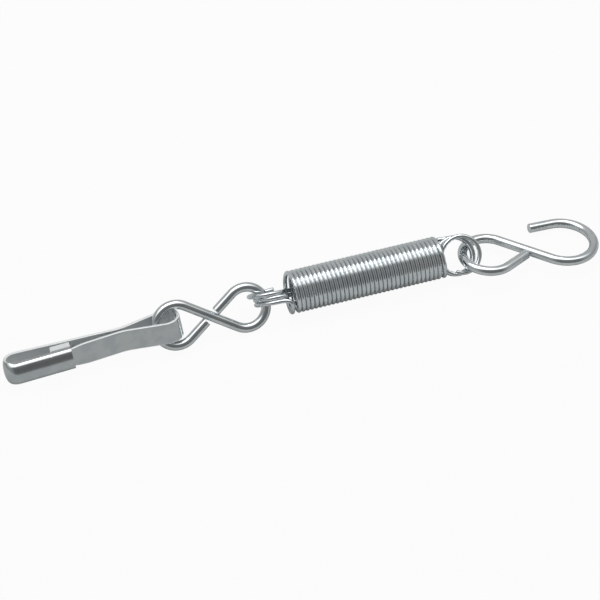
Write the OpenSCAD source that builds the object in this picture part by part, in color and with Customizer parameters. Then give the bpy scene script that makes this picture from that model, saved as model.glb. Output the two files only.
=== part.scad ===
/* [Spring] */
// Outside diameter of the coil
coil_od = 13.6; // [12:0.1:16]
// Diameter of the spring wire
spring_wire = 1.36; // [1.2:0.02:1.4]
// Gap between neighbouring turns of the closed coil
turn_gap = 0.03; // [0.02:0.01:0.1]
// Whole turns of the close-wound body
body_turns = 33; // [20:1:35]
// How far the first turn at each end stands off the body
end_gap = 0.8; // [0.2:0.1:1.5]
// Centre-line radius of an end loop
loop_r = 5.85; // [5.6:0.05:6.1]
// Distance from the body to the middle of an end loop
loop_reach = 6.3; // [6:0.1:7.5]
// How far an end loop sits to one side of the coil's axis
loop_side = 0.8; // [0:0.1:1.2]
// Extra reach of the outermost turn of an end loop
loop_spread = 1.7; // [0:0.1:2.4]
// Gap between the wires of an end loop
loop_gap = 0.1; // [0.05:0.01:0.4]
// Roll of the left end loop about the spring's axis
left_roll = 130; // [120:1:140]
// Roll of the right end loop about the spring's axis
right_roll = 40; // [30:1:50]

/* [Wire links] */
// Diameter of the wire of both links
link_wire = 3; // [2.5:0.1:3.2]
// Centre-line radius of a closed eye
eye_r = 6.43; // [6:0.01:7.5]
// Distance between the eyes of the figure-eight link
link_pitch = 22.5; // [21:0.1:26]
// Lean of the figure-eight link from the floor
link_lean = 51.6; // [48:0.2:56]
// Turn of the figure-eight link to the side of the spring's axis
link_yaw = 2.5; // [1:0.5:4]
// Fall of the figure-eight link towards the spring
link_fall = 1.9; // [1:0.1:3]
// Height of the figure-eight link's middle above the floor
link_lift = 6.93; // [6.9:0.01:7.5]
// Gap between the end of an eye's wire and the diagonal that it meets
closing_gap = 0.2; // [0.1:0.05:0.6]
// Centre-line radius of the open hook's closed eye
hook_eye_r = 8.2; // [7:0.05:8.5]
// Centre-line radius of the open hook
hook_r = 9.7; // [8.5:0.1:10.5]
// Slope of the closed eye's end as it comes back to the diagonal
hook_closing = 29; // [18:1:36]
// Distance from the closed eye to the open hook
hook_pitch = 25.6; // [25:0.1:30]
// Turn of the open hook before its straight end
hook_wrap = 227; // [190:1:235]
// Length of the straight end of the open hook
hook_tail = 7.5; // [3:0.5:10]
// Turn of the open hook to the side of the spring's axis
hook_yaw = -1.4; // [-4:0.2:2]
// Fall of the open hook towards the floor
hook_fall = 4.1; // [3:0.1:5]
// Roll of the open hook about its own length
hook_roll = -10; // [-12:0.5:-8]
// Height of the open hook's closed eye above the floor
eye_lift = 5.2; // [5.1:0.1:6]

/* [Snap hook] */
// Thickness of the strip
strip_t = 0.9; // [0.7:0.05:1]
// Width of the strip
strip_w = 7.2; // [6:0.1:7.6]
// Length over all
snap_length = 55.5; // [50:0.5:62]
// Outside radius of the nose
nose_r = 4.3; // [4:0.1:5]
// Outside radius of the rolled eye
roll_r = 4.3; // [4:0.1:5]
// Distance from the tip of the nose to the mouth of the cup
cup_length = 21; // [18:0.5:24]
// Length of the tabs that flank the tongue
tab_length = 6; // [4:0.5:8]
// Depth of the tabs past the cup's rounded corners
tab_depth = 3.2; // [1:0.1:4]
// Length of tongue that lies in the cup
tongue_lap = 4.5; // [3:0.5:6]
// Width of the tongue at its tip
tongue_w = 5; // [4:0.1:5.5]
// Distance from the waist to the end of the rolled eye
waist_back = 20; // [18:0.5:24]
// Gap between the legs at the waist
waist_gap = 1.1; // [0.4:0.1:2]
// Lean of the snap hook from upright
snap_lean = 19; // [16:0.5:21]
// Rise of the snap hook towards its eye
snap_rise = 3.6; // [3:0.1:4.5]
// Turn of the snap hook to the side of the spring's axis
snap_yaw = -0.9; // [-2:0.1:1]
// Height of the snap hook's load point above the floor
snap_lift = 4.6; // [4.5:0.1:5.5]

/* [Slack in the chain] */
// Free play between the link and the bend of the snap hook's eye
snap_slack = 5.74; // [5.4:0.02:6.2]
// Free play between the link and the spring's left loop
link_slack = 2.02; // [1.8:0.02:2.6]
// Free play between the open hook and the spring's right loop
hook_slack = 1.4; // [1:0.1:2]
// Sideways place of the figure-eight link's middle
link_side = 0.9; // [0.4:0.1:1.4]
// Sideways place of the spring's axis
coil_side = 2.9; // [2.5:0.1:3.5]
// Sideways place of the open hook's closed eye
eye_side = 0.5; // [0:0.1:1]

/* [Hidden] */

zinc = [0.74, 0.77, 0.79];
pale_zinc = [0.80, 0.82, 0.84];

// Directions and lists

function unit(v) = v / norm(v);
function reversed(list) = [for (i = [len(list) - 1 : -1 : 0]) list[i]];
function smooth(x) = let (t = min(1, max(0, x))) t * t * (3 - 2 * t);
function arc(c, r, from, to, steps) =
  [for (i = [0 : steps]) let (a = from + (to - from) * i / steps) c + r * [cos(a), sin(a)]];
// Angle at which the crossing tangent of two circles leaves the first one
function tangent_angle(a, ra, b, rb, side) =
  atan2(b.y - a.y, b.x - a.x) + side * acos((ra + rb) / norm(b - a));

// Rings of a swept section joined into one closed solid
module skin(rings) {
  n = len(rings[0]);
  last = len(rings) - 1;
  points = [for (ring = rings) each ring];
  walls = [for (i = [0 : last - 1], j = [0 : n - 1]) let (k = (j + 1) % n)
    each [[i * n + j, (i + 1) * n + j, (i + 1) * n + k], [i * n + j, (i + 1) * n + k, i * n + k]]];
  // Each end is closed by quads across the ring
  caps = [for (j = [0 : n / 2 - 2]) let (cap = [j, j + 1, n - 2 - j, n - 1 - j])
    each [cap, [for (i = reversed(cap)) last * n + i]]];
  polyhedron(points, concat(walls, caps), convexity = 12);
}

// Spring: one wire, from the free end of one loop to the free end of the other

coil_r = (coil_od - spring_wire) / 2;
turn_pitch = spring_wire + turn_gap;
turn_steps = 16;
wire_sides = 6;
loop_pitch = spring_wire + loop_gap;
bend_at = -40;
bend_reach = 1.7;
loop_start = 90;
loop_end = 1020;
loop_middle = 540;

// The end turn stands off the body as it comes round to the bend
function end_turn(a) =
  [turn_pitch * (a + 360) / 360 + end_gap * smooth((a + 360) / 300), coil_r * cos(a), coil_r * sin(a)];
function loop_point(a) =
  [loop_reach + loop_spread * smooth((a - loop_middle - 90) / 180) - loop_r * cos(a),
   loop_r * sin(a) - loop_side, loop_pitch * (a - loop_middle) / 360];
function bezier(p, q, r, s, t) =
  pow(1 - t, 3) * p + 3 * pow(1 - t, 2) * t * q + 3 * (1 - t) * t * t * r + t * t * t * s;
// Points of one end, outwards from the body, as reach, side and stack
function end_points() =
  let (a = end_turn(bend_at), b = end_turn(bend_at + 1), s = loop_point(loop_start),
       q = a + unit(b - a) * bend_reach, r = [a.x + bend_reach / 2, s.y, s.z])
  concat(
    [for (i = [1 : 17]) end_turn(-360 + i * (bend_at + 360) / 17)],
    [for (i = [1 : 4]) bezier(a, q, r, s, i / 5)],
    [for (i = [0 : 50]) loop_point(loop_start + i * (loop_end - loop_start) / 50)]);
// The same end in place: the stack runs a quarter turn round from the side
function placed_end(x, way, roll) =
  [for (p = end_points()) let (up = roll + way * 90)
    [x + way * p.x, p.y * cos(roll) + p.z * cos(up), p.y * sin(roll) + p.z * sin(up)]];

module spring_coil() {
  // The body's turns carry the left end's roll round to the right end's
  turns = coil_length / turn_pitch;
  body_steps = round(turns * turn_steps);
  body = [for (i = [0 : body_steps]) let (t = i / body_steps, a = left_roll + 360 * turns * t)
    [coil_length * t, coil_r * cos(a), coil_r * sin(a)]];
  left = placed_end(0, -1, left_roll);
  right = placed_end(coil_length, 1, right_roll);
  path = concat(reversed(left), body, right);
  n = len(path);
  ahead = [for (i = [0 : n - 1]) unit(path[min(i + 1, n - 1)] - path[max(i - 1, 0)])];
  first = len(left);
  last = first + body_steps;
  radial = [for (i = [first : last]) unit([0, path[i].y, path[i].z])];
  out_right = [for (i = last + 1, u = radial[body_steps]; i < n;
    u = unit(u - (u * ahead[i]) * ahead[i]), i = i + 1) unit(u - (u * ahead[i]) * ahead[i])];
  out_left = [for (i = first - 1, u = radial[0]; i >= 0;
    u = unit(u - (u * ahead[i]) * ahead[i]), i = i - 1) unit(u - (u * ahead[i]) * ahead[i])];
  out = concat(reversed(out_left), radial, out_right);
  skin([for (i = [0 : n - 1]) let (u = out[i], v = cross(ahead[i], u))
    [for (j = [0 : wire_sides - 1]) let (a = 360 * j / wire_sides)
      path[i] + spring_wire / 2 * (cos(a) * u + sin(a) * v)]]);
}

// Wire links: arcs and straight pieces of round wire in one plane

// An arc is a hair thinner and runs into the straight pieces at its ends
seam = 0.02;
seam_run = 0.25;
module wire_arc(c, r, from, to) {
  over = seam_run / r * 180 / PI;
  translate([c.x, c.y, 0]) rotate([0, 0, from - over])
    rotate_extrude(angle = to - from + 2 * over, $fn = 36) translate([r, 0])
    circle(d = link_wire - seam, $fn = 16);
}

module wire_line(p, q) {
  d = q - p;
  translate([p.x, p.y, 0]) rotate([0, 90, atan2(d.y, d.x)])
    cylinder(d = link_wire, h = norm(d), $fn = 16);
}

// A closed eye at c: its wire leaves along the diagonal and comes back to it at another slope
module closed_eye(c, r, slope, closing) {
  foot = c + r * [sin(closing), -cos(closing)];
  meet = slope + closing;
  // Along the closing end to where its middle would cross the middle of the diagonal
  run = r * (1 + cos(meet)) / sin(meet);
  stop = (link_wire / 2 * (1 + abs(cos(meet))) + closing_gap) / sin(meet);
  wire_arc(c, r, 90 - slope, 270 + closing);
  wire_line(foot, foot + (run - stop) * [cos(closing), sin(closing)]);
}

// The figure-eight link lies along X from the middle of its left wire
module eight() {
  slope = asin(2 * eye_r / link_pitch);
  left = [eye_r, 0];
  right = left + [link_pitch, 0];
  middle = (left + right) / 2;
  lift = eye_r * [sin(slope), cos(slope)];
  closed_eye(left, eye_r, slope, slope);
  translate([middle.x, 0, 0]) rotate([0, 0, 180]) translate([-middle.x, 0, 0])
    closed_eye(left, eye_r, slope, slope);
  wire_line(left + lift, right - lift);
}

// The open hook lies along X from the middle of its closed eye's left wire
module ess() {
  slope = asin((hook_eye_r + hook_r) / hook_pitch);
  left = [hook_eye_r, 0];
  right = left + [hook_pitch, 0];
  out = [sin(slope), cos(slope)];
  turn_end = 270 - slope + hook_wrap;
  tip = right + hook_r * [cos(turn_end), sin(turn_end)];
  closed_eye(left, hook_eye_r, slope, hook_closing);
  wire_line(left + hook_eye_r * out, right - hook_r * out);
  wire_arc(right, hook_r, 270 - slope, turn_end);
  wire_line(tip, tip + hook_tail * [cos(turn_end + 90), sin(turn_end + 90)]);
}

// Snap hook: one strip, from the tip of the tongue round the eye and the nose to the mouth of the cup

nose_c = [nose_r - strip_t, 0];
roll_c = [snap_length - strip_t - roll_r, 0];
bend_nose = nose_r - strip_t / 2;
bend_roll = roll_r - strip_t / 2;
bend_waist = 14;
waist_at = snap_length - waist_back;
waist_n = (waist_gap + strip_t) / 2;
far_waist = [waist_at, waist_n + bend_waist];
near_waist = [waist_at, -waist_n - bend_waist];
fit_gap = 0.3;

// Cross-section of the cup: a low crown, rounded corners and flat tabs
crown_r = 6;
crown_angle = 22;
corner_r = 1.6;
crown_run = crown_r * crown_angle * PI / 180;
corner_run = corner_r * (90 - crown_angle) * PI / 180;
formed = crown_run + corner_run;
function section_angle(s, fold) =
  fold * (s < crown_run ? s / crown_r : crown_angle * PI / 180 + min(s - crown_run, corner_run) / corner_r)
  * 180 / PI;
function section_mid(s, fold) =
  let (a = section_angle(min(s, crown_run), fold), b = section_angle(s, fold), flat = max(0, s - formed))
  [crown_r / fold * sin(a) + corner_r / fold * (sin(b) - sin(a)) + flat * cos(b),
   crown_r / fold * (1 - cos(a)) + corner_r / fold * (cos(a) - cos(b)) + flat * sin(b)];
function half_stops(half) =
  let (k = min(1, (half - 0.05) / formed))
  concat([for (s = [0, crown_run / 2, crown_run, crown_run + corner_run / 3,
    crown_run + 2 * corner_run / 3, formed]) s * k], [half]);
// A ring of the strip: side is across the strip, inward is towards the inside of the hook
function strip_ring(p, inward, half, fold) =
  let (stops = half_stops(half),
       faces = [for (face = [-1, 1]) [for (s = stops)
         let (m = section_mid(s, fold), a = section_angle(s, fold))
         [m.x - face * strip_t / 2 * sin(a), m.y + face * strip_t / 2 * cos(a)]]],
       outer = concat([for (i = [len(stops) - 1 : -1 : 1]) [-faces[0][i].x, faces[0][i].y]], faces[0]),
       inner = concat(reversed(faces[1]), [for (i = [1 : len(stops) - 1]) [-faces[1][i].x, faces[1][i].y]]))
  [for (q = concat(outer, inner)) [p.x + inward.x * q.y, p.y + inward.y * q.y, -q.x]];

module snap_strip() {
  flat = 0.002;
  tongue_crown = section_mid(tongue_w / 2, 1).y;
  tongue_n = bend_nose - strip_t - tongue_crown - fit_gap;
  mouth = cup_length - strip_t;
  tab_start = mouth - tab_length;
  tip = [mouth - tongue_lap, -tongue_n];
  // The tongue runs straight from its tip to the waist
  to_waist = near_waist - tip;
  tongue_angle = atan2(to_waist.y, to_waist.x) + asin(bend_waist / norm(to_waist));
  near_leave = tangent_angle(near_waist, bend_waist, roll_c, bend_roll, 1);
  far_leave = tangent_angle(roll_c, bend_roll, far_waist, bend_waist, -1);
  far_join = tangent_angle(far_waist, bend_waist, nose_c, bend_nose, 1) + 360;
  gutter_half = formed + 0.15;
  tab_half = formed + tab_depth;
  half_w = strip_w / 2;
  near_arc = arc(near_waist, bend_waist, tongue_angle + 90, near_leave, 4);
  roll_arc = arc(roll_c, bend_roll, near_leave - 180, far_leave, 22);
  far_arc = arc(far_waist, bend_waist, far_leave + 180, far_join, 4);
  nose_steps = 14;
  nose_arc = arc(nose_c, bend_nose, far_join - 180, 270, nose_steps);
  length_of_tongue = norm(near_arc[0] - tip);
  tongue = [for (f = [0, 0.02, 0.08, 0.25, 0.5]) [tip + f * (near_arc[0] - tip),
    tongue_w / 2 - 0.5 * (1 - min(1, f / 0.08)) + (half_w - tongue_w / 2) * smooth(f / 0.5)]];
  far_leg = [for (f = [0.35, 0.7]) far_arc[4] + f * (nose_arc[0] - far_arc[4])];
  cup = [for (x = [3, 5.5, 8, tab_start - 0.2 - nose_c.x]) [[nose_c.x + x, -bend_nose], gutter_half]];
  tabs = [for (x = [tab_start, (tab_start + mouth) / 2, mouth]) [[x, -bend_nose], tab_half]];
  path = concat(
    [for (s = tongue) [s[0], s[1], flat]],
    [for (p = near_arc) [p, half_w, flat]],
    [for (p = roll_arc) [p, half_w, flat]],
    [for (p = far_arc) [p, half_w, flat]],
    [for (p = far_leg) [p, half_w, flat]],
    [for (i = [0 : nose_steps]) let (f = smooth((i - 1) / (nose_steps - 1)))
      [nose_arc[i], half_w + (gutter_half - half_w) * f, max(flat, f)]],
    [for (s = cup) [s[0], s[1], 1]],
    [for (s = tabs) [s[0], s[1], 1]]);
  n = len(path);
  skin([for (i = [0 : n - 1])
    let (t = unit(path[min(i + 1, n - 1)][0] - path[max(i - 1, 0)][0]))
    strip_ring(path[i][0], [-t.y, t.x], path[i][1], path[i][2])]);
}

// Places along the chain, from the load point inside the snap hook's nose

coil_z = coil_od / 2 - snap_lift;
link_x = roll_c.x + bend_roll - strip_t / 2 - link_wire / 2 - snap_slack;
link_z = link_lift - snap_lift;
eye_z = eye_lift - snap_lift;
loop_tip = loop_reach + loop_r;
coil_x = link_x + 2 * eye_r + link_pitch - link_wire / 2 - link_slack + loop_tip + spring_wire / 2;
coil_length = (floor(body_turns) + (right_roll - left_roll + 360) / 360) * turn_pitch;
eye_x = coil_x + coil_length + loop_tip - spring_wire / 2 - link_wire / 2 - hook_slack + hook_eye_r;

module snap_hook() {
  color(pale_zinc) rotate([-snap_lean, 0, 0]) rotate([0, -snap_rise, 0]) rotate([0, 0, snap_yaw])
    snap_strip();
}

module figure_eight_link() {
  half_run = eye_r + link_pitch / 2;
  color(zinc) translate([link_x + half_run, link_side, link_z]) rotate([0, 0, link_yaw])
    rotate([0, link_fall, 0]) rotate([link_lean, 0, 0]) translate([-half_run, 0, 0]) eight();
}

module spring() {
  color(pale_zinc) translate([coil_x, coil_side, coil_z]) spring_coil();
}

module open_hook() {
  color(zinc) translate([eye_x, eye_side, eye_z]) rotate([0, 0, hook_yaw])
    rotate([0, hook_fall, 0]) rotate([hook_roll, 0, 0]) translate([-hook_eye_r, 0, 0]) ess();
}

snap_hook();
figure_eight_link();
spring();
open_hook();
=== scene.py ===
import math
import bpy
import numpy as np
from mathutils import Matrix, Vector


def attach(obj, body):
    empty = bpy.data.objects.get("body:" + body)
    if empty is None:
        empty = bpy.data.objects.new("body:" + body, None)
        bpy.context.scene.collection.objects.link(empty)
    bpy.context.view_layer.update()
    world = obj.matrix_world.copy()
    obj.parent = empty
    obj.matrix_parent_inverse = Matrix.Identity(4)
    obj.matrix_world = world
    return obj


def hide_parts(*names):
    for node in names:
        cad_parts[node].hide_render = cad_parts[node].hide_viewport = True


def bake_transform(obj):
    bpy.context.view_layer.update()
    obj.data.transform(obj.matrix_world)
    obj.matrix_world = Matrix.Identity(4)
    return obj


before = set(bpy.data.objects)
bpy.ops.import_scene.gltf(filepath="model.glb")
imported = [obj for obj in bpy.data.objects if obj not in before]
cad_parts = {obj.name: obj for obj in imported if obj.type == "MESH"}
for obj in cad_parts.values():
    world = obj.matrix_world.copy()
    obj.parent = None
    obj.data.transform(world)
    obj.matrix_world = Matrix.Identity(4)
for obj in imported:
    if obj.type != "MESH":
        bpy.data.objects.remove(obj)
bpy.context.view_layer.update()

print("frame loaded")

# camera
camera = {"elevation": 51.0, "turn": 17.1, "distance": 0.600, "pixelsPerMetre": 3200.0,
          "target": (0.114586, 0.0029, 0.0022), "targetPixel": (365.25, 274.6)}


def makeCamera():
    # looks along -c; the target lands on its pixel of a 600 x 600 image
    el = math.radians(camera["elevation"])
    tu = math.radians(camera["turn"])
    c = Vector((-math.sin(tu) * math.cos(el), -math.cos(tu) * math.cos(el), math.sin(el)))
    r = Vector((math.cos(tu), -math.sin(tu), 0))
    u = c.cross(r)
    dist = camera["distance"]
    focal = camera["pixelsPerMetre"] * dist
    dx = (camera["targetPixel"][0] - 300) / focal * dist
    dy = -(camera["targetPixel"][1] - 300) / focal * dist
    data = bpy.data.cameras.new("camera")
    data.sensor_width = 36
    data.lens = 36 * focal / 600
    data.clip_start = 0.01
    data.clip_end = 20
    obj = bpy.data.objects.new("camera", data)
    bpy.context.scene.collection.objects.link(obj)
    place = Vector(camera["target"]) - dx * r - dy * u + dist * c
    obj.matrix_world = Matrix.Translation(place) @ Matrix((r, u, c)).transposed().to_4x4()
    bpy.context.scene.camera = obj


makeCamera()
print("camera set")


# shader expressions
class Sock:
    # wraps a socket so that arithmetic on it adds Math nodes
    def __init__(self, tree, socket):
        self.tree = tree
        self.socket = socket

    def mathNode(self, operation, *values):
        return self.node("ShaderNodeMath", {"operation": operation}, dict(enumerate(values)))

    def node(self, kind, settings=None, inputs=None, output=0):
        # any other node: settings first, then the values or links of its sockets
        made = self.tree.nodes.new(kind)
        for key, value in (settings or {}).items():
            if key == "stops":
                ramp = made.color_ramp
                while len(ramp.elements) > 1:
                    ramp.elements.remove(ramp.elements[-1])
                ramp.elements[0].position = value[0][0]
                ramp.elements[0].color = value[0][1]
                for place, colour in value[1:]:
                    ramp.elements.new(place).color = colour
            else:
                setattr(made, key, value)
        for key, value in (inputs or {}).items():
            if isinstance(value, Sock):
                self.tree.links.new(value.socket, made.inputs[key])
            else:
                made.inputs[key].default_value = value
        return Sock(self.tree, made.outputs[output])

    def __add__(self, other):
        return self.mathNode("ADD", self, other)

    __radd__ = __add__

    def __sub__(self, other):
        return self.mathNode("SUBTRACT", self, other)

    def __rsub__(self, other):
        return self.mathNode("SUBTRACT", other, self)

    def __mul__(self, other):
        return self.mathNode("MULTIPLY", self, other)

    __rmul__ = __mul__

    def __truediv__(self, other):
        return self.mathNode("DIVIDE", self, other)

    def clamp(self):
        return self.mathNode("MINIMUM", self.mathNode("MAXIMUM", self, 0.0), 1.0)

    def smoothstep(self, low, high):
        return self.node("ShaderNodeMapRange", {"interpolation_type": "SMOOTHSTEP"},
                         {0: self, 1: low, 2: high, 3: 0.0, 4: 1.0})


def startMaterial(name):
    material = bpy.data.materials.new(name)
    material.use_nodes = True
    tree = material.node_tree
    shader = tree.nodes["Principled BSDF"]
    return material, tree, shader, Sock(tree, shader.outputs[0])


# bright zinc on steel
zinc = {"light": (0.80, 0.835, 0.845, 1), "cool": (0.72, 0.765, 0.785, 1), "dull": (0.50, 0.54, 0.56, 1),
        # sheared: the whiter colour of the strip's cut edges, also used as a painted highlight on the edges and
        # tab and as painted light on the inside face
        "sheared": (0.95, 0.97, 0.975, 1),
        "roughnessSpread": 0.06, "drawLines": 0.08, "dullRoughness": 0.12, "shearedRoughness": 0.42,
        "lineScale": 9.0, "cloudScale": 260.0, "speckScale": 1500.0, "grainScale": 5200.0,
        "bump": 0.05, "bumpDepth": 0.00006}


def zincMaterial(name, alongScale, roughness, dull=0.25, paintedShade=1.0):
    # colour = light + cool clouds + dull specks; the lines left by drawing run along u of the UV map
    material, tree, shader, start = startMaterial(name)
    coords = start.node("ShaderNodeTexCoord", output=3)
    uv = start.node("ShaderNodeUVMap")
    stretched = start.node("ShaderNodeMapping", {}, {0: uv, 3: (alongScale, 1.0, 1.0)})
    lines = start.node("ShaderNodeTexNoise", {"noise_dimensions": "2D"},
                       {"Vector": stretched, "Scale": zinc["lineScale"], "Detail": 4.0, "Roughness": 0.65})
    clouds = start.node("ShaderNodeTexNoise", {},
                        {"Vector": coords, "Scale": zinc["cloudScale"], "Detail": 3.0})
    specks = start.node("ShaderNodeTexNoise", {},
                        {"Vector": coords, "Scale": zinc["speckScale"], "Detail": 5.0, "Roughness": 0.7})
    grain = start.node("ShaderNodeTexNoise", {},
                       {"Vector": coords, "Scale": zinc["grainScale"], "Detail": 2.0})
    cloudMask = clouds.smoothstep(0.42, 0.62)
    speckMask = specks.smoothstep(0.58, 0.74) * dull
    # shade scales the whole colour down; below 1 it is painted shade
    light, cool = (tuple(paintedShade * level for level in zinc[tone][:3]) + (1,) for tone in ("light", "cool"))
    clouded = start.node("ShaderNodeMix", {"data_type": "RGBA"}, {0: cloudMask, 6: light, 7: cool}, output=2)
    specked = start.node("ShaderNodeMix", {"data_type": "RGBA"},
                         {0: speckMask, 6: clouded, 7: zinc["dull"]}, output=2)
    # the sheared attribute whitens the colour: partly the real cut edges, partly painted highlight and painted
    # light
    sheared = start.node("ShaderNodeAttribute", {"attribute_name": "sheared"}, output=2)
    colour = start.node("ShaderNodeMix", {"data_type": "RGBA"},
                        {0: sheared, 6: specked, 7: zinc["sheared"]}, output=2)
    rough = (roughness + sheared * zinc["shearedRoughness"] + (clouds - 0.5) * zinc["roughnessSpread"]
             + (lines - 0.5) * zinc["drawLines"] + speckMask * zinc["dullRoughness"])
    height = lines * 0.6 + grain * 0.25 + specks * 0.5
    bump = start.node("ShaderNodeBump", {},
                      {"Strength": zinc["bump"], "Distance": zinc["bumpDepth"], "Height": height})
    tree.links.new(colour.socket, shader.inputs["Base Color"])
    tree.links.new(rough.clamp().socket, shader.inputs["Roughness"])
    tree.links.new(bump.socket, shader.inputs["Normal"])
    shader.inputs["Metallic"].default_value = 1.0
    return material


# shapes as arrays
def unit(v):
    # v divided by its length, row by row
    return v / np.linalg.norm(v, axis=-1, keepdims=True)


def smooth(x):
    # 3t^2 - 2t^3 with t held between 0 and 1
    t = np.clip(x, 0, 1)
    return t * t * (3 - 2 * t)


def turned(axis, degrees):
    # matrix of a right-handed turn about x, y or z
    return np.array(Matrix.Rotation(math.radians(degrees), 3, axis))


def meshFromGrid(name, grid, uv, finishAndPaintedLight=None):
    # grid[i, j]: ring i along the piece, point j around it; quads between rings, a fan point at each end
    rings, around = grid.shape[:2]
    points = grid.reshape(-1, 3)
    i, j = np.meshgrid(np.arange(rings - 1), np.arange(around), indexing="ij")
    k = (j + 1) % around
    quads = np.stack([i * around + j, i * around + k, (i + 1) * around + k, (i + 1) * around + j], -1)
    quads = quads.reshape(-1, 4)
    first = len(points)
    points = np.vstack([points, grid[0].mean(0), grid[-1].mean(0)])
    js = np.arange(around)
    ks = (js + 1) % around
    startFan = np.stack([np.full(around, first), ks, js], -1)
    endFan = np.stack([np.full(around, first + 1), (rings - 1) * around + js, (rings - 1) * around + ks], -1)
    mesh = bpy.data.meshes.new(name)
    corners = np.concatenate([quads.ravel(), startFan.ravel(), endFan.ravel()]).astype(np.int32)
    sizes = np.concatenate([np.full(len(quads), 4), np.full(2 * around, 3)]).astype(np.int32)
    starts = np.concatenate([[0], np.cumsum(sizes)[:-1]]).astype(np.int32)
    mesh.vertices.add(len(points))
    mesh.vertices.foreach_set("co", points.astype(np.float32).ravel())
    mesh.loops.add(len(corners))
    mesh.loops.foreach_set("vertex_index", corners)
    mesh.polygons.add(len(sizes))
    mesh.polygons.foreach_set("loop_start", starts)
    mesh.polygons.foreach_set("loop_total", sizes)
    mesh.polygons.foreach_set("use_smooth", np.ones(len(sizes), dtype=bool))
    # each quad keeps its own v so that the map has no seam
    vThis = uv[0][i.ravel()][:, None]
    vNext = uv[0][i.ravel() + 1][:, None]
    a = (j.ravel() / around)[:, None] * uv[1]
    b = ((j.ravel() + 1) / around)[:, None] * uv[1]
    quadUv = np.stack([np.hstack([vThis, a]), np.hstack([vThis, b]),
                       np.hstack([vNext, b]), np.hstack([vNext, a])], 1)
    fanUv = np.zeros((2 * around * 3, 2))
    # share of sheared surface and of painted light (a whiter colour), one value for each point around the piece
    shares = np.zeros(len(points))
    if finishAndPaintedLight is not None:
        shares[:first] = finishAndPaintedLight.ravel()
        shares[first:] = 1.0
    mesh.attributes.new("sheared", "FLOAT", "POINT").data.foreach_set("value", shares.astype(np.float32))
    layer = mesh.uv_layers.new(name="along")
    layer.data.foreach_set("uv", np.concatenate([quadUv.reshape(-1, 2), fanUv]).astype(np.float32).ravel())
    mesh.update(calc_edges=True)
    mesh.validate()
    obj = bpy.data.objects.new(name, mesh)
    bpy.context.scene.collection.objects.link(obj)
    return obj


def held(rows, count):
    # rows with the first and the last of them repeated
    return np.concatenate([np.repeat(rows[:1], count, 0), rows, np.repeat(rows[-1:], count, 0)])


def tube(name, path, outward, radius, sides, chamfer):
    # ring = path + r (cos a * n + sin a * t x n); both ends are drawn in along a quarter round
    tangent = unit(np.gradient(path, axis=0))
    n = unit(outward - (outward * tangent).sum(1, keepdims=True) * tangent)
    m = np.cross(tangent, n)
    endRings = 5
    turn = np.linspace(0, np.pi / 2, endRings + 1)[1:]
    inward = chamfer * (1 - np.cos(turn))
    forward = chamfer * np.sin(turn)
    centre = np.concatenate([path[0] - forward[::-1, None] * tangent[0], path,
                             path[-1] + forward[:, None] * tangent[-1]])
    size = np.concatenate([radius - inward[::-1], np.full(len(path), radius), radius - inward])
    # two flat rings on each cut face keep its edge crisp
    flat = np.array([0.75, 0.35])
    centre = held(centre, len(flat))
    size = np.concatenate([size[0] * flat[::-1], size, size[-1] * flat])
    n = held(n, endRings + len(flat))
    m = held(m, endRings + len(flat))
    a = np.linspace(0, 2 * np.pi, sides, endpoint=False)
    grid = centre[:, None] + size[:, None, None] * (np.cos(a)[None, :, None] * n[:, None]
                                                    + np.sin(a)[None, :, None] * m[:, None])
    along = np.concatenate([[0], np.cumsum(np.linalg.norm(np.diff(centre, axis=0), axis=1))]) * 1000
    return meshFromGrid(name, grid, (along, 2 * np.pi * radius * 1000))


# the spring, in millimetres until placed
spring = {"outside": 13.6, "wire": 1.36, "gap": 0.03, "turns": 33.75, "endGap": 0.8, "loopRadius": 5.85,
          "loopReach": 6.3, "loopSide": 0.8, "loopSpread": 1.7, "loopGap": 0.1, "leftRoll": 130.0,
          "rightRoll": 40.0, "start": (91.13, 2.9, 2.2), "sides": 14, "steps": 40, "loopSteps": 120,
          "bendLeave": 1.7, "bendReach": 0.85, "bendAngle": -40.0, "cutEdge": 0.12, "blendLeft": 6.0,
          "blendRight": 3.0}


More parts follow.
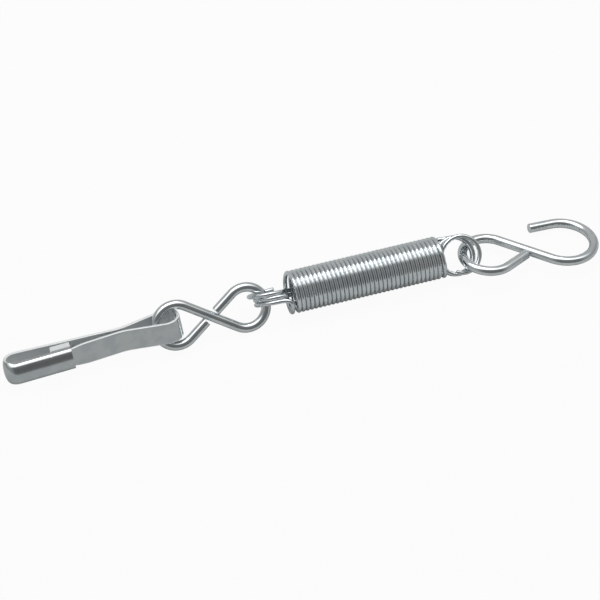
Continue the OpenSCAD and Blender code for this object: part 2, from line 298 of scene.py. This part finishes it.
def springEnd(x, way, roll):
    # one end, outwards: end turn (x, R cos a, R sin a), a Bezier bend, then 2.6 turns of loop in its plane
    s = spring
    coilR = (s["outside"] - s["wire"]) / 2
    pitch = s["wire"] + s["gap"]
    deg = np.pi / 180

    def endTurn(a):
        return np.stack([pitch * (a + 360) / 360 + s["endGap"] * smooth((a + 360) / 300),
                         coilR * np.cos(a * deg), coilR * np.sin(a * deg)], -1)

    def loopPoint(a):
        reach = s["loopReach"] + s["loopSpread"] * smooth((a - 630) / 180) - s["loopRadius"] * np.cos(a * deg)
        return np.stack([reach, s["loopRadius"] * np.sin(a * deg) - s["loopSide"],
                         (s["wire"] + s["loopGap"]) * (a - 540) / 360], -1)

    p0, p1 = endTurn(s["bendAngle"] + np.array([0.0, 1.0]))
    p3 = loopPoint(np.array([90.0]))[0]
    q = p0 + unit(p1 - p0) * s["bendLeave"]
    r = np.array([p0[0] + s["bendReach"], p3[1], p3[2]])
    t = np.linspace(0, 1, 14)[1:-1, None]
    bend = (1 - t) ** 3 * p0 + 3 * (1 - t) ** 2 * t * q + 3 * (1 - t) * t * t * r + t ** 3 * p3
    turnA = np.linspace(-360, s["bendAngle"], s["steps"])[1:]
    loopA = np.linspace(90, 1020, s["loopSteps"])
    local = np.concatenate([endTurn(turnA), bend, loopPoint(loopA)])
    outTurn = np.stack([0 * turnA, np.cos(turnA * deg), np.sin(turnA * deg)], -1)
    outLoop = np.stack([-np.cos(loopA * deg), np.sin(loopA * deg), 0 * loopA], -1)
    k = smooth(t)
    outBend = outTurn[-1] * (1 - k) + outLoop[0] * k
    out = np.concatenate([outTurn, outBend, outLoop])
    up = (roll + way * 90) * deg
    side = np.array([0, math.cos(roll * deg), math.sin(roll * deg)])
    stack = np.array([0, math.cos(up), math.sin(up)])
    frameRows = np.stack([np.array([way, 0, 0]), side, stack])
    return local @ frameRows + np.array([x, 0, 0]), out @ frameRows


def makeSpring():
    # body: (pitch * turns, R cos a, R sin a), with one end carried on at each side
    s = spring
    coilR = (s["outside"] - s["wire"]) / 2
    length = s["turns"] * (s["wire"] + s["gap"])
    count = int(s["turns"] * s["steps"])
    t = np.linspace(0, 1, count + 1)
    a = np.radians(s["leftRoll"] + 360 * s["turns"] * t)
    ring = np.stack([0 * a, np.cos(a), np.sin(a)], -1)
    body = ring * coilR + np.stack([length * t, 0 * t, 0 * t], -1)
    left, leftOut = springEnd(0, -1, s["leftRoll"])
    right, rightOut = springEnd(length, 1, s["rightRoll"])
    path = np.concatenate([left[::-1], body, right]) + np.array(s["start"])
    out = np.concatenate([leftOut[::-1], ring, rightOut])
    piece = tube("springWire", path / 1000, out, s["wire"] / 2000, s["sides"], s["cutEdge"] / 1000)
    piece.data.materials.append(zincMaterial("springZinc", 0.06, roughness=0.14, dull=0.3))
    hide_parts("spring")
    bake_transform(piece)


makeSpring()
print("spring made")


# wire links
link = {"wire": 3.0, "eye": 6.43, "pitch": 22.5, "gap": 0.2, "lean": 51.6, "yaw": 2.5, "fall": 1.9,
        "middle": (64.14, 0.9, 2.33), "sides": 40, "step": 0.16}
openHook = {"wire": 3.0, "eye": 8.2, "hook": 9.7, "pitch": 25.6, "closing": 29.0, "wrap": 227.0, "tail": 7.5,
            "yaw": -1.4, "fall": 4.1, "roll": -10.0, "eyeMiddle": (154.7925, 0.5, 0.6), "gap": 0.2, "sides": 40,
            "step": 0.16}


def planeArc(centre, radius, start, end, step):
    # centre + r (cos a, sin a)
    count = max(4, int(abs(end - start) * math.pi / 180 * radius / step))
    a = np.radians(np.linspace(start, end, count))
    return np.stack([centre[0] + radius * np.cos(a), centre[1] + radius * np.sin(a)], -1)


def planeLine(p, q, step):
    count = max(3, int(np.linalg.norm(np.subtract(q, p)) / step))
    t = np.linspace(0, 1, count)[:, None]
    return np.asarray(p) * (1 - t) + np.asarray(q) * t


def eyeAndEnd(radius, slope, closing, wire, gap, step):
    # from the free end by the diagonal, round the eye, to where the diagonal starts; eye centre at the origin
    meet = math.radians(slope + closing)
    run = radius * (1 + math.cos(meet)) / math.sin(meet)
    stop = (wire / 2 * (1 + abs(math.cos(meet))) + gap) / math.sin(meet)
    way = np.array([math.cos(math.radians(closing)), math.sin(math.radians(closing))])
    foot = radius * np.array([way[1], -way[0]])
    return np.concatenate([planeLine(foot + (run - stop) * way, foot, step)[:-1],
                           planeArc((0, 0), radius, 270 + closing, 90 - slope, step)])


def wirePiece(name, flatPath, matrix, place, wire, sides, roughness, chamfer=0.3):
    # the flat path, given a little eased corner by averaging neighbours, is turned and put in place
    eased = flatPath.copy()
    for _ in range(6):
        eased[1:-1] = (eased[:-2] + 2 * eased[1:-1] + eased[2:]) / 4
    path = np.concatenate([eased, np.zeros((len(eased), 1))], 1) @ matrix.T + np.array(place)
    normal = np.repeat((matrix @ np.array([0, 0, 1.0]))[None], len(path), 0)
    piece = tube(name, path / 1000, normal, wire / 2000, sides, chamfer / 1000)
    piece.data.materials.append(zincMaterial(name + "Zinc", 0.05, roughness=roughness))
    return piece


def makeLink():
    s = link
    slope = math.degrees(math.asin(2 * s["eye"] / s["pitch"]))
    left = eyeAndEnd(s["eye"], slope, slope, s["wire"], s["gap"], s["step"]) - np.array([s["pitch"] / 2, 0])
    right = -left[::-1]
    path = np.concatenate([left, planeLine(left[-1], right[0], s["step"])[1:-1], right])
    matrix = turned("Z", s["yaw"]) @ turned("Y", s["fall"]) @ turned("X", s["lean"])
    piece = wirePiece("linkWire", path, matrix, s["middle"], s["wire"], s["sides"], 0.085)
    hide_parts("figure_eight_link")
    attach(piece, "link")


def makeOpenHook():
    s = openHook
    slope = math.degrees(math.asin((s["eye"] + s["hook"]) / s["pitch"]))
    eye = eyeAndEnd(s["eye"], slope, s["closing"], s["wire"], s["gap"], s["step"])
    hook = planeArc((s["pitch"], 0), s["hook"], 270 - slope, 270 - slope + s["wrap"], s["step"])
    end = math.radians(270 - slope + s["wrap"])
    tail = planeLine(hook[-1], hook[-1] + s["tail"] * np.array([-math.sin(end), math.cos(end)]), s["step"])
    path = np.concatenate([eye, planeLine(eye[-1], hook[0], s["step"])[1:-1], hook, tail[1:]])
    matrix = turned("Z", s["yaw"]) @ turned("Y", s["fall"]) @ turned("X", s["roll"])
    piece = wirePiece("openHookWire", path, matrix, s["eyeMiddle"], s["wire"], s["sides"], 0.085)
    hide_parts("open_hook")
    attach(piece, "hook")


makeLink()
makeOpenHook()
print("link and open hook made")


# snap hook
snap = {"thick": 0.9, "width": 7.2, "length": 55.5, "nose": 4.3, "roll": 4.3, "cup": 21.0, "tab": 6.0,
        "tabDepth": 3.2, "lap": 4.5, "tongue": 5.0, "waistAt": 35.5, "waistGap": 1.1, "waistBend": 14.0,
        "crown": 6.0, "crownAngle": 22.0, "corner": 1.6, "edge": 0.16, "insideMattAndPaintedLight": 0.8, "lean": 19.0,
        "rise": 3.6, "yaw": -0.9, "tipRound": 0.9, "tongueGap": 0.3, "unbent": 0.002, "lip": 0.15,
        "cutEase": 0.1, "cutShrink": 0.06, "facePoints": 33, "edgePoints": 5, "step": 0.22, "fineStep": 0.154}


def crossingTangent(a, ra, b, rb, side):
    # angle at which the crossing tangent of two circles leaves the first
    d = np.subtract(b, a)
    return math.degrees(math.atan2(d[1], d[0]) + side * math.acos((ra + rb) / np.linalg.norm(d)))


def sectionPoint(s, n, fold):
    # s across the strip and n through it, bent by a low crown, then a round corner, then straight
    k = snap
    deg = np.pi / 180
    crownRun = k["crown"] * k["crownAngle"] * deg
    cornerRun = k["corner"] * (90 - k["crownAngle"]) * deg
    d = np.abs(s)
    a = fold * np.minimum(d, crownRun) / k["crown"]
    b = a + fold * np.clip(d - crownRun, 0, cornerRun) / k["corner"]
    flat = np.maximum(0, d - crownRun - cornerRun)
    x = k["crown"] / fold * np.sin(a) + k["corner"] / fold * (np.sin(b) - np.sin(a)) + flat * np.cos(b)
    y = k["crown"] / fold * (1 - np.cos(a)) + k["corner"] / fold * (np.cos(a) - np.cos(b)) + flat * np.sin(b)
    return np.sign(s) * (x - n * np.sin(b)), y + n * np.cos(b)


def makeSnapHook():
    # the strip's outline (rounded rectangle) carried along its middle line from tongue tip to cup mouth
    k = snap
    deg = np.pi / 180
    t = k["thick"]
    noseC = np.array([k["nose"] - t, 0.0])
    rollC = np.array([k["length"] - t - k["roll"], 0.0])
    noseR = k["nose"] - t / 2
    rollR = k["roll"] - t / 2
    waist = (k["waistGap"] + t) / 2
    far = np.array([k["waistAt"], waist + k["waistBend"]])
    near = np.array([k["waistAt"], -waist - k["waistBend"]])
    formed = k["crown"] * k["crownAngle"] * deg + k["corner"] * (90 - k["crownAngle"]) * deg
    crownRise = sectionPoint(np.array([k["tongue"] / 2]), 0, 1.0)[1][0]
    tipN = noseR - t - crownRise - k["tongueGap"]
    mouth = k["cup"] - t
    tip = np.array([mouth - k["lap"], -tipN])
    toWaist = near - tip
    tongueAngle = math.degrees(math.atan2(toWaist[1], toWaist[0])
                               + math.asin(k["waistBend"] / np.linalg.norm(toWaist)))
    nearLeave = crossingTangent(near, k["waistBend"], rollC, rollR, 1)
    farLeave = crossingTangent(rollC, rollR, far, k["waistBend"], -1)
    farJoin = crossingTangent(far, k["waistBend"], noseC, noseR, 1) + 360
    step = k["step"]
    nearArc = planeArc(near, k["waistBend"], tongueAngle + 90, nearLeave, step)
    rollArc = planeArc(rollC, rollR, nearLeave - 180, farLeave, step)
    farArc = planeArc(far, k["waistBend"], farLeave + 180, farJoin, step)
    noseArc = planeArc(noseC, noseR, farJoin - 180, 270, k["fineStep"])
    tongue = planeLine(tip, nearArc[0], step)
    farLeg = planeLine(farArc[-1], noseArc[0], step)
    cup = planeLine(noseArc[-1], (mouth, -noseR), k["fineStep"])
    parts = [tongue[:-1], nearArc, planeLine(nearArc[-1], rollArc[0], step)[1:-1], rollArc,
             planeLine(rollArc[-1], farArc[0], step)[1:-1], farArc, farLeg[1:-1], noseArc, cup[1:]]
    path = np.concatenate(parts)
    lengths = [len(p) for p in parts]
    half = np.full(len(path), k["width"] / 2)
    fold = np.full(len(path), k["unbent"])
    # the tongue widens from its rounded tip to the waist
    f = np.linspace(0, 1, lengths[0])
    along = f * np.linalg.norm(nearArc[0] - tip)
    roundTip = np.clip(along / k["tipRound"], 0, 1)
    half[:lengths[0]] = (k["tongue"] / 2 + (k["width"] - k["tongue"]) / 2 * smooth(f / 0.5)
                         - k["tipRound"] * (1 - np.sqrt(np.clip(1 - (1 - roundTip) ** 2, 0, 1))))
    # the flat strip is pressed into the gutter round the nose
    n0 = sum(lengths[:7])
    g = smooth((np.linspace(0, 1, lengths[7]) - 0.07) / 0.93)
    gutter = formed + k["lip"]
    fold[n0:n0 + lengths[7]] = np.maximum(k["unbent"], g)
    half[n0:n0 + lengths[7]] = k["width"] / 2 + (gutter - k["width"] / 2) * g
    fold[n0 + lengths[7]:] = 1.0
    cupX = path[n0 + lengths[7]:, 0]
    onTab = smooth((cupX - mouth + k["tab"] + 0.2) / 0.3)
    half[n0 + lengths[7]:] = gutter + (formed + k["tabDepth"] - gutter) * onTab
    # rounded outline of the flat strip in (s, n)
    e = k["edge"]
    q = np.linspace(0, 90, k["edgePoints"]) * deg
    faces = np.linspace(-1, 1, k["facePoints"])
    tangent = unit(np.gradient(path, axis=0))
    inward = np.stack([-tangent[:, 1], tangent[:, 0]], -1)
    h = half[:, None]
    flat = h - e
    outer = (faces[None] * flat, np.full_like(faces, -t / 2))
    cornerA = (flat + e * np.sin(q)[None, 1:], (-t / 2 + e - e * np.cos(q))[1:])
    cornerB = (flat + e * np.cos(q)[None], t / 2 - e + e * np.sin(q))
    inner = (faces[::-1][None, 1:] * flat, np.full_like(faces[1:], t / 2))
    cornerC = (-flat - e * np.sin(q)[None, 1:], (t / 2 - e + e * np.cos(q))[1:])
    cornerD = (-flat - e * np.cos(q)[None, :-1], (-t / 2 + e - e * np.sin(q))[:-1])
    sides = (outer, cornerA, cornerB, inner, cornerC, cornerD)
    s = np.concatenate([across for across, _ in sides], 1)
    n = np.repeat(np.concatenate([through for _, through in sides])[None], len(path), 0)
    x, y = sectionPoint(s, n, fold[:, None])
    grid = np.stack([path[:, None, 0] + inward[:, None, 0] * y, path[:, None, 1] + inward[:, None, 1] * y,
                     -x], -1)
    # one more ring at each cut end; the tongue's is drawn in a little
    ease = k["cutEase"]
    drawnIn = grid[:1] * (1 - k["cutShrink"]) + grid[:1].mean(1, keepdims=True) * k["cutShrink"]
    grid = np.concatenate([drawnIn - np.append(tangent[0], 0) * ease, grid,
                           grid[-1:] + np.append(tangent[-1], 0) * ease])
    matrix = turned("X", -k["lean"]) @ turned("Y", -k["rise"]) @ turned("Z", k["yaw"])
    grid = grid @ matrix.T / 1000
    walk = np.concatenate([[0], np.cumsum(np.linalg.norm(np.diff(path, axis=0), axis=1))])
    walk = np.concatenate([[-ease], walk, [walk[-1] + ease]])
    # the sheared edges are matt and whiter, a real cut finish and partly a painted highlight; so is the tab,
    # whose whiteness is a painted highlight, and the face that lay inside the fold is less so, lightened as
    # painted light in the recess
    faceCount = k["facePoints"] - 1
    edgeCount = 2 * k["edgePoints"]
    finishAndPaintedLight = np.concatenate([np.zeros(faceCount), np.ones(edgeCount),
                             np.full(faceCount - 1, k["insideMattAndPaintedLight"]), np.ones(edgeCount - 1)])
    finishAndPaintedLight = np.maximum(finishAndPaintedLight[None], (np.abs(s) > formed + 0.4) & (fold[:, None] == 1.0))
    finishAndPaintedLight = np.concatenate([finishAndPaintedLight[:1], finishAndPaintedLight, finishAndPaintedLight[-1:]])
    piece = meshFromGrid("snapHookStrip", grid[:, ::-1], (walk, 16.0), finishAndPaintedLight[:, ::-1])
    # the strip's zinc is darkened to 0.8 of the wires' as painted shade
    piece.data.materials.append(zincMaterial("stripZinc", 0.04, roughness=0.17, dull=0.2, paintedShade=0.80))
    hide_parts("snap_hook")
    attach(piece, "snap")


makeSnapHook()
print("snap hook made")

# floor, light and world
studio = {"floorZ": -0.00465, "floorHalf": 2.0, "floor": (0.50, 0.51, 0.51, 1), "floorRoughness": 0.9,
          "seenByCamera": 0.95, "seenInMetal": 0.08, "ends": 0.34, "endsFrom": 0.45, "endsTo": 0.9,
          "around": [(-180, 0.30), (-100, 0.46), (-60, 0.46), (-40, 0.50), (-28, 0.90), (-18, 1.55),
                     (2, 1.60), (9, 1.10), (17, 0.36), (27, 0.17), (45, 0.17), (62, 0.14), (80, 0.15),
                     (100, 0.25), (180, 0.30)]}
overhead = {"place": (0.08, 0.22, 0.6), "target": (0.1, 0, 0), "size": (0.6, 0.25), "watts": 1.0}


def makeFloor():
    mesh = bpy.data.meshes.new("floor")
    z = studio["floorZ"]
    h = studio["floorHalf"]
    mesh.from_pydata([(-h, -h, z), (h, -h, z), (h, h, z), (-h, h, z)], [], [(0, 1, 2, 3)])
    obj = bpy.data.objects.new("floor", mesh)
    bpy.context.scene.collection.objects.link(obj)
    material, tree, shader, start = startMaterial("paleFloor")
    shader.inputs["Base Color"].default_value = studio["floor"]
    shader.inputs["Roughness"].default_value = studio["floorRoughness"]
    path = start.node("ShaderNodeLightPath", output=0)
    glossy = start.node("ShaderNodeLightPath", output=3)
    transmission = start.node("ShaderNodeLightPath", output=6)
    seen = (path * studio["seenByCamera"] + (glossy + transmission) * studio["seenInMetal"]).clamp()
    glow = start.node("ShaderNodeEmission", {}, {0: (1, 1, 1, 1), 1: 1.0})
    mixed = start.node("ShaderNodeMixShader", {}, {0: seen, 1: start, 2: glow})
    tree.links.new(mixed.socket, tree.nodes["Material Output"].inputs["Surface"])
    mesh.materials.append(material)


def makeWorld():
    # brightness by the angle round the chain: a soft box overhead, grey behind, dark on the camera's side
    world = bpy.data.worlds.new("studio")
    bpy.context.scene.world = world
    world.use_nodes = True
    tree = world.node_tree
    background = tree.nodes["Background"]
    start = Sock(tree, background.outputs[0])
    direction = start.node("ShaderNodeTexCoord", output=0)
    apart = start.node("ShaderNodeSeparateXYZ", {}, {0: direction}).socket.node
    x, y, z = (Sock(tree, apart.outputs[i]) for i in range(3))
    angle = (0.0 - y).mathNode("ARCTAN2", 0.0 - y, z) * (180 / math.pi)
    stops = [((degrees + 180) / 360, (level, level, level, 1)) for degrees, level in studio["around"]]
    share = (angle + 180.0) / 360.0
    ring = start.node("ShaderNodeValToRGB", {"stops": stops}, {0: share})
    # towards the chain's own ends the box fades to grey
    ends = x.mathNode("ABSOLUTE", x).smoothstep(studio["endsFrom"], studio["endsTo"])
    grey = (studio["ends"],) * 3 + (1,)
    mixed = start.node("ShaderNodeMix", {"data_type": "RGBA"}, {0: ends, 6: ring, 7: grey}, output=2)
    camera = start.node("ShaderNodeLightPath", output=0)
    seen = start.node("ShaderNodeMix", {"data_type": "RGBA"}, {0: camera, 6: mixed, 7: (1, 1, 1, 1)}, output=2)
    tree.links.new(seen.socket, background.inputs["Color"])
    background.inputs["Strength"].default_value = 1.0


def makeLamp(name, lamp):
    data = bpy.data.lights.new(name, "AREA")
    data.shape = "RECTANGLE"
    data.size, data.size_y = lamp["size"]
    data.energy = lamp["watts"]
    obj = bpy.data.objects.new(name, data)
    bpy.context.scene.collection.objects.link(obj)
    place = Vector(lamp["place"])
    away = place - Vector(lamp["target"])
    obj.matrix_world = Matrix.Translation(place) @ away.to_track_quat("Z", "Y").to_matrix().to_4x4()


makeFloor()
makeWorld()
makeLamp("overhead", overhead)
print("floor, world and lamp made")

bpy.context.scene.view_settings.view_transform = "Standard"
